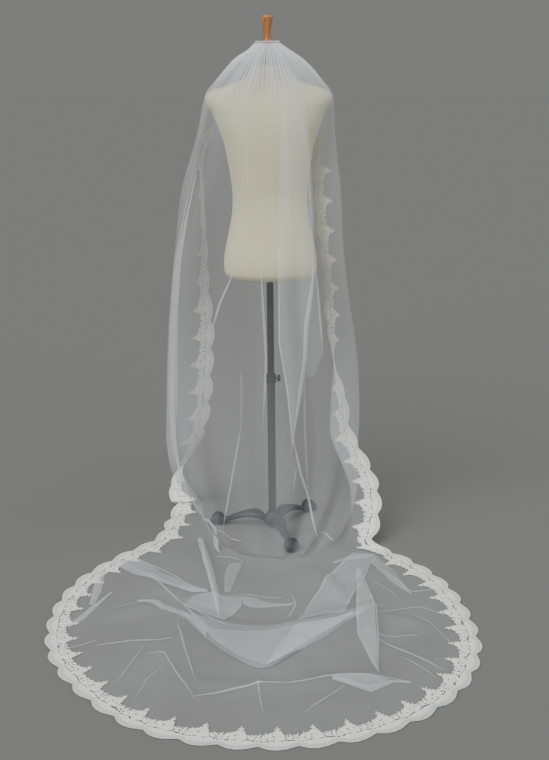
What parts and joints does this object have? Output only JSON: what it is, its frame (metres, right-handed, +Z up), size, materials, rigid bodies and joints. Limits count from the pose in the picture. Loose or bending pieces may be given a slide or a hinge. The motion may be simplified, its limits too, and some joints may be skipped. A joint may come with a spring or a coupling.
{
  "type": "bridal veil on a limbless dress form",
  "caption": "Cathedral length one-tier tulle bridal veil with a scalloped lace edge, gathered at the neck of a dress form on a three-footed stand, its train spread on the floor.",
  "frame": {"origin": "middle of the whole footprint, on the floor", "axes": "+Z up along the stand; the train runs towards -Y and the form's back faces -Y; +X is to the right of someone who looks at the train's end and the form's back behind it"},
  "size_m": [1.2426, 1.5184, 1.6996],
  "materials": {
    "tulle": "sheer ivory white tulle net",
    "lace": "ivory embroidered lace with a scalloped edge",
    "cream_jersey": "cream knitted jersey over padding",
    "neck_cap_metal": "satin grey",
    "turned_wood": "varnished warm brown",
    "black_tube": "semi-gloss black enamel",
    "cast_iron": "black painted casting"
  },
  "bodies": {
    "root": {"veil_tulle": "tulle", "veil_tulle_left": "tulle", "veil_tulle_right": "tulle", "veil_tulle_train": "tulle", "veil_heading": "tulle", "lace_left_fall": "lace", "lace_left_train": "lace", "lace_end_left": "lace", "lace_end_right": "lace", "lace_right_train": "lace", "lace_right_fall": "lace", "form_torso": "cream_jersey", "form_neck_cap": "neck_cap_metal", "form_finial": "turned_wood", "stand_pole": "black_tube", "stand_clamp": "black_tube", "stand_tube": "black_tube", "stand_hub": "cast_iron", "stand_knob": "black_tube", "stand_leg_1": "cast_iron", "stand_leg_2": "cast_iron", "stand_leg_3": "cast_iron"}
  },
  "joints": []
}
